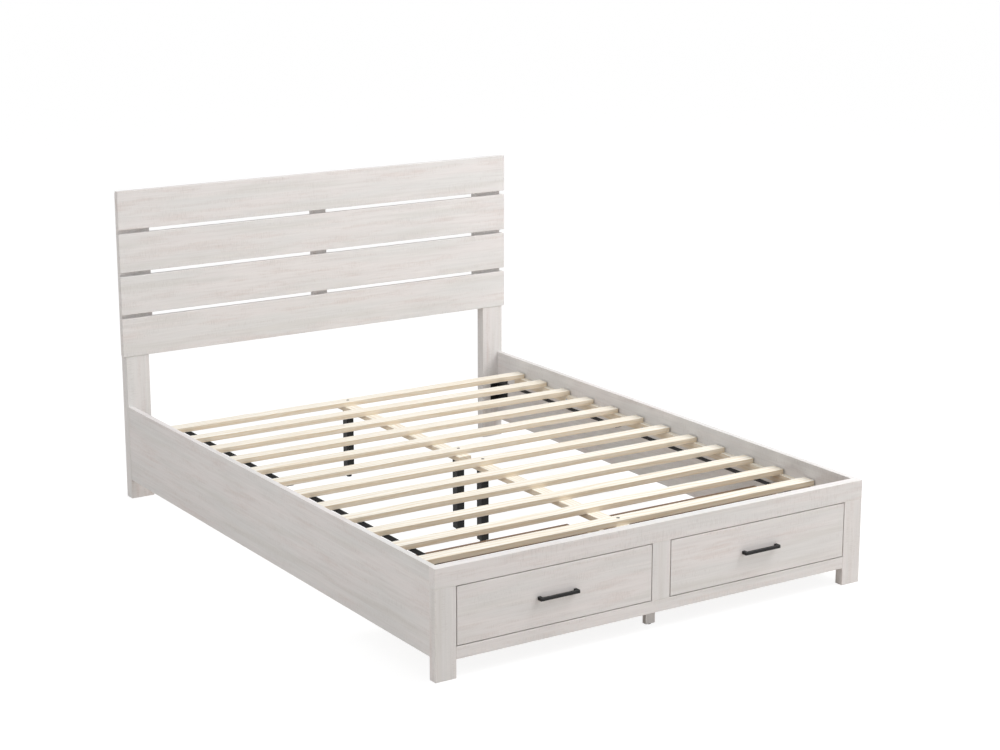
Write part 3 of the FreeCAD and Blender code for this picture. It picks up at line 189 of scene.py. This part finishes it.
def whitewashed_wood(grain):
    """Pale limed boards: faint straight streaks under a white wash, with soft rosy and
    green-grey patches and the odd trace of the saw."""
    wash = srgb(226, 222, 221)
    grey_wash = srgb(221, 220, 219)
    rosy_wood = srgb(213, 201, 196)
    ring_line = srgb(205, 201, 194)
    bare_fibre = srgb(201, 196, 193)
    thick_lime = srgb(238, 235, 233)
    saw_mark = srgb(198, 194, 191)
    open_pore = srgb(178, 170, 164)
    edge_highlight_and_wear_colour = srgb(240, 236, 231)

    finish = Finish("whitewashed_wood_along_" + grain)
    rings, fibre, pores, clouds = board_figure(finish, grain, ring=0.055, warp=0.05)
    along, across, rise = finish.own_axes(grain)
    own = finish.own_number(31.0)
    across = finish.plus(across, own)
    rise = finish.plus(rise, own)
    lengthwise = finish.vector(finish.times(along, 0.11), across, rise)
    streaks = finish.noise(lengthwise, scale=38.0, detail=5.0, roughness=0.68)
    crosswise = finish.vector(along, finish.times(across, 0.10), finish.times(rise, 0.10))
    saw = finish.noise(crosswise, scale=520.0, detail=2.0)

    colour = finish.blend(finish.span(clouds, 0.38, 0.62), wash, grey_wash)
    rosy = finish.times(finish.span(streaks, 0.50, 0.70, 0.0, 0.66),
                        finish.span(clouds, 0.60, 0.40, 0.10, 1.0))
    colour = finish.blend(rosy, colour, rosy_wood)
    band = finish.times(finish.span(rings, 0.55, 1.0, 0.0, 0.28),
                        finish.span(clouds, 0.46, 0.60))
    colour = finish.blend(band, colour, ring_line)
    colour = finish.blend(finish.span(fibre, 0.52, 0.72, 0.0, 0.30), colour, bare_fibre)
    colour = finish.blend(finish.span(fibre, 0.48, 0.30, 0.0, 0.30), colour, thick_lime)
    worked = finish.times(finish.span(saw, 0.50, 0.68, 0.0, 0.48),
                          finish.span(streaks, 0.44, 0.58))
    colour = finish.blend(worked, colour, saw_mark)
    colour = finish.blend(finish.span(pores, 0.60, 0.80, 0.0, 0.25), colour, open_pore)
    # Painted highlight and wear: sharp edges are painted lighter, towards a brighter wash.
    edge = finish.edge_highlight_and_wear_mask(radius=0.0016)
    colour = finish.blend(finish.times(edge, 0.6), colour, edge_highlight_and_wear_colour)
    relief = finish.minus(fibre, finish.times(pores, 0.5))
    finish.bump(relief, strength=0.16, distance=0.0005)
    return finish.surface(Base_Color=colour, Roughness=finish.span(fibre, 0.3, 0.7, 0.50, 0.66))


def pine(name, grain, light, line, knot, side):
    """Pine with growth lines and a few small knots. Its faces that don't point up or down are
    painted darker and warmer: painted shade, and the warmer tone of cut faces."""
    finish = Finish(name)
    rings, fibre, pores, clouds = board_figure(finish, grain, ring=0.011, warp=0.07)

    colour = finish.blend(finish.span(rings, 0.45, 1.0, 0.0, 0.75), light, line)
    colour = finish.blend(finish.span(clouds, 0.45, 0.70, 0.0, 0.35), colour, line)
    colour = finish.blend(finish.span(fibre, 0.55, 0.75, 0.0, 0.35), colour, knot)

    along, across, rise = finish.own_axes(grain)
    place = finish.vector(finish.times(along, 0.45), across, rise)
    spots = finish.node("TexVoronoi", {"Vector": place, "Scale": 7.0}).outputs
    pick = finish.node("SeparateColor", {0: spots["Color"]}).outputs["Red"]
    has_knot = finish.span(pick, 0.70, 0.72)
    ragged = finish.plus(spots["Distance"], finish.times(fibre, 0.04))
    in_knot = finish.span(ragged, 0.085, 0.055)
    colour = finish.blend(finish.times(has_knot, in_knot), colour, knot)

    # Painted shade: faces that don't point up or down get the darker, warmer side colour.
    facing = finish.node("TexCoord").outputs["Normal"]
    upward = finish.calculate("ABSOLUTE", finish.node("SeparateXYZ", {0: facing}).outputs["Z"])
    side_shade_mask = finish.span(upward, 0.7, 0.3, 0.0, 0.45)
    colour = finish.blend(side_shade_mask, colour, side)
    # Painted highlight and wear: sharp edges are painted towards the lightest pine colour.
    edge = finish.edge_highlight_and_wear_mask(radius=0.0014)
    colour = finish.blend(finish.times(edge, 0.4), colour, light)
    relief = finish.minus(fibre, finish.times(pores, 0.4))
    finish.bump(relief, strength=0.20, distance=0.0005)
    return finish.surface(Base_Color=colour, Roughness=finish.span(fibre, 0.3, 0.7, 0.48, 0.62))


def slat_pine(grain):
    return pine("slat_pine_along_" + grain, grain, light=srgb(242, 238, 228),
                line=srgb(228, 214, 190), knot=srgb(190, 154, 114), side=srgb(216, 192, 156))


def drawer_pine(grain):
    """Pine in a mid brown, much darker than the slat pine."""
    return pine("drawer_pine_along_" + grain, grain, light=srgb(143, 113, 85),
                line=srgb(118, 90, 65), knot=srgb(90, 66, 46), side=srgb(126, 96, 70))


def beech():
    return pine("beech", "z", light=srgb(224, 194, 152), line=srgb(206, 170, 124),
                knot=srgb(170, 128, 86), side=srgb(206, 170, 124))


def hardboard():
    """Pressed brown fibre sheet."""
    pale_fibre = srgb(172, 138, 100)
    dark_fibre = srgb(140, 106, 72)
    rubbed_patch = srgb(186, 156, 120)

    finish = Finish("hardboard")
    place = finish.vector(*finish.own_axes("x"))
    flecks = finish.noise(place, scale=260.0, detail=4.0, roughness=0.7)
    patches = finish.noise(place, scale=7.0, detail=2.0)
    colour = finish.blend(finish.span(flecks, 0.35, 0.65), pale_fibre, dark_fibre)
    colour = finish.blend(finish.span(patches, 0.4, 0.7, 0.0, 0.4), colour, rubbed_patch)
    finish.bump(flecks, strength=0.15, distance=0.0004)
    return finish.surface(Base_Color=colour, Roughness=finish.span(flecks, 0.3, 0.7, 0.42, 0.6))


def black_steel():
    """Black powder coat: fine orange peel, edges painted a little lighter, as painted highlight and
    rubbed wear.
    """
    coat = srgb(17, 17, 18)
    dusty_coat = srgb(26, 26, 26)
    edge_highlight_and_rub = srgb(84, 82, 80)

    finish = Finish("black_steel")
    place = finish.vector(*finish.own_axes("x"))
    peel = finish.noise(place, scale=900.0, detail=2.0)
    haze = finish.noise(place, scale=30.0, detail=3.0)
    colour = finish.blend(finish.span(haze, 0.35, 0.7), coat, dusty_coat)
    # Painted highlight and wear: sharp edges are painted lighter.
    colour = finish.blend(finish.times(finish.edge_highlight_and_wear_mask(radius=0.0009), 0.5), colour, edge_highlight_and_rub)
    finish.bump(peel, strength=0.18, distance=0.0003)
    return finish.surface(Base_Color=colour, Roughness=finish.span(haze, 0.3, 0.7, 0.42, 0.56),
                          Specular_IOR_Level=0.28)


def zinc_steel():
    """Zinc plate with a faint spangle and fine rolling lines."""
    bright_zinc = srgb(196, 198, 202)
    dull_zinc = srgb(168, 171, 178)
    rolling_line = srgb(140, 142, 148)

    finish = Finish("zinc_steel")
    along, across, rise = finish.own_axes("y")
    place = finish.vector(along, across, rise)
    crystals = finish.node("TexVoronoi", {"Vector": place, "Scale": 160.0})
    spangle = crystals.outputs["Distance"]
    lengthwise = finish.vector(finish.times(along, 0.03), across, rise)
    lines = finish.noise(lengthwise, scale=900.0, detail=2.0)
    colour = finish.blend(finish.span(spangle, 0.2, 0.7), bright_zinc, dull_zinc)
    colour = finish.blend(finish.span(lines, 0.5, 0.8, 0.0, 0.3), colour, rolling_line)
    finish.bump(lines, strength=0.10, distance=0.0002)
    rough = finish.plus(finish.span(spangle, 0.2, 0.7, 0.26, 0.36),
                        finish.span(lines, 0.4, 0.8, 0.0, 0.10))
    return finish.surface(Base_Color=colour, Metallic=1.0, Roughness=rough)


def black_webbing():
    """Flat woven tape."""
    thread = 0.0016                  # from one warp thread to the next but one
    deep_weave = srgb(14, 14, 15)
    raised_weave = srgb(30, 30, 31)
    fluff = srgb(48, 48, 49)

    finish = Finish("black_webbing")
    along, across, rise = finish.own_axes("y")
    warp = finish.calculate("SINE", finish.times(across, FULL_TURN / thread))
    weft = finish.calculate("SINE", finish.times(along, FULL_TURN / thread))
    weave = finish.span(finish.times(warp, weft), -1.0, 1.0)
    fuzz = finish.noise(finish.vector(along, across, rise), scale=1500.0, detail=2.0)
    colour = finish.blend(weave, deep_weave, raised_weave)
    colour = finish.blend(finish.span(fuzz, 0.5, 0.8, 0.0, 0.3), colour, fluff)
    finish.bump(finish.plus(weave, finish.times(fuzz, 0.4)), strength=0.6, distance=0.0004)
    return finish.surface(Base_Color=colour, Roughness=finish.span(fuzz, 0.3, 0.7, 0.78, 0.92),
                          Specular_IOR_Level=0.2)


def black_plastic():
    """Moulded plastic feet, scuffed near the floor."""
    smooth_black = srgb(28, 28, 29)
    grainy_black = srgb(42, 42, 42)
    scuffed = srgb(110, 108, 104)
    scuff_height = 0.006

    finish = Finish("black_plastic")
    along, across, rise = finish.own_axes("x")
    grain = finish.noise(finish.vector(along, across, rise), scale=1200.0, detail=2.0)
    low = finish.span(rise, scuff_height, 0.0)
    scuff = finish.times(low, finish.span(grain, 0.45, 0.7, 0.0, 0.6))
    colour = finish.blend(finish.span(grain, 0.4, 0.7), smooth_black, grainy_black)
    colour = finish.blend(scuff, colour, scuffed)
    finish.bump(grain, strength=0.25, distance=0.0003)
    return finish.surface(Base_Color=colour, Roughness=finish.span(grain, 0.3, 0.7, 0.46, 0.62))


# ---------------------------------------------------------------- which node gets which finish

# Nodes whose grain doesn't run along X.
UPRIGHT = ("headboard_leg", "headboard_stile", "footboard_leg", "footboard_mid_stile",
           "footboard_centre_leg")
LENGTHWISE = ("side_rail", "ledger_", "centre_rail_", "runner_panel_")

GRAINED = {"whitewashed_wood": whitewashed_wood, "pine": slat_pine, "drawer_pine": drawer_pine}
PLAIN = {"beech": beech, "hardboard": hardboard, "black_steel": black_steel,
         "zinc_steel": zinc_steel, "black_webbing": black_webbing,
         "black_plastic": black_plastic}


def grain_of(node):
    if node.startswith(UPRIGHT):
        return "z"
    if node.startswith(LENGTHWISE) or "_side_" in node:
        return "y"
    return "x"


def finish_for(node, slot, made):
    """The material for a CAD node, from the record's slot and the way its grain runs. `made`
    keeps each material, so that it is made only once."""
    grain = grain_of(node) if slot in GRAINED else None
    key = (slot, grain)
    if key not in made:
        made[key] = GRAINED[slot](grain) if grain else PLAIN[slot]()
    return made[key]


def paint_nodes():
    made = {}
    slots = {part["node"]: part["material_slot"] for part in frame["record"]["subparts"]}
    for name, thing in frame["nodes"].items():
        material = finish_for(name, slots[name], made)
        thing.data.materials.clear()
        thing.data.materials.append(material)


# ---------------------------------------------------------------- floor, light and camera

def stage_disc(name, wall, drop):
    """A round floor, with a wall round its rim if `wall` is above zero."""
    turns = [FULL_TURN * index / FLOOR_SIDES for index in range(FLOOR_SIDES)]
    rim = [(FLOOR_RADIUS * math.cos(turn), FLOOR_RADIUS * math.sin(turn), 0.0) for turn in turns]
    faces = [tuple(range(FLOOR_SIDES))]
    points = list(rim)
    if wall > 0:
        points += [(x, y, wall) for x, y, _ in rim]
        for index in range(FLOOR_SIDES):
            after = (index + 1) % FLOOR_SIDES
            faces.append((index, index + FLOOR_SIDES, after + FLOOR_SIDES, after))
    mesh = bpy.data.meshes.new(name)
    mesh.from_pydata(points, [], faces)
    disc = bpy.data.objects.new(name, mesh)
    disc.location.z = -drop
    bpy.context.scene.collection.objects.link(disc)
    return disc


def make_floor():
    """A plain pale studio floor: the one that is seen glows a little from within, and a
    plain one just under it bounces the light back at the bed."""
    seen = stage_disc("floor", WALL_HEIGHT, FLOOR_DROP)
    seen.visible_diffuse = False
    seen.visible_shadow = False
    pale = Finish("pale_floor")
    pale.surface(Base_Color=srgb(*FLOOR_COLOUR), Roughness=0.9, Specular_IOR_Level=0.1,
                 Emission_Color=WHITE, Emission_Strength=FLOOR_GLOW)
    seen.data.materials.append(pale.material)
    bounce = stage_disc("bounce_floor", 0.0, BOUNCE_DROP)
    bounce.visible_camera = False
    plain = Finish("bounce_floor")
    plain.surface(Base_Color=srgb(*BOUNCE_COLOUR), Roughness=0.9, Specular_IOR_Level=0.1)
    bounce.data.materials.append(plain.material)


def make_sky():
    world = bpy.data.worlds.new("studio")
    bpy.context.scene.world = world
    world.use_nodes = True
    sky = world.node_tree.nodes["Background"]
    sky.inputs["Color"].default_value = WHITE
    sky.inputs["Strength"].default_value = SKY_STRENGTH


def make_softboxes():
    for name, (place, watts) in SOFTBOXES.items():
        light = bpy.data.lights.new(name, "AREA")
        light.shape = "SQUARE"
        light.size = SOFTBOX_SIZE
        light.energy = watts
        lamp = bpy.data.objects.new(name, light)
        bpy.context.scene.collection.objects.link(lamp)
        lamp.location = place
        aim = SOFTBOX_AIM - lamp.location
        lamp.rotation_euler = aim.to_track_quat("-Z", "Y").to_euler()


def make_camera():
    azimuth = math.radians(CAMERA_AZIMUTH)
    elevation = math.radians(CAMERA_ELEVATION)
    back = Vector((-math.sin(azimuth) * math.cos(elevation),
                   -math.cos(azimuth) * math.cos(elevation), math.sin(elevation)))
    data = bpy.data.cameras.new("camera")
    data.lens = CAMERA_LENS
    data.sensor_width = CAMERA_SENSOR
    data.clip_end = CAMERA_REACH
    camera = bpy.data.objects.new("camera", data)
    bpy.context.scene.collection.objects.link(camera)
    camera.location = CAMERA_TARGET + back * CAMERA_DISTANCE
    camera.rotation_euler = (-back).to_track_quat("-Z", "Y").to_euler()
    bpy.context.scene.camera = camera


bpy.context.scene.view_settings.view_transform = "Standard"
paint_nodes()
make_floor()
make_sky()
make_softboxes()
make_camera()
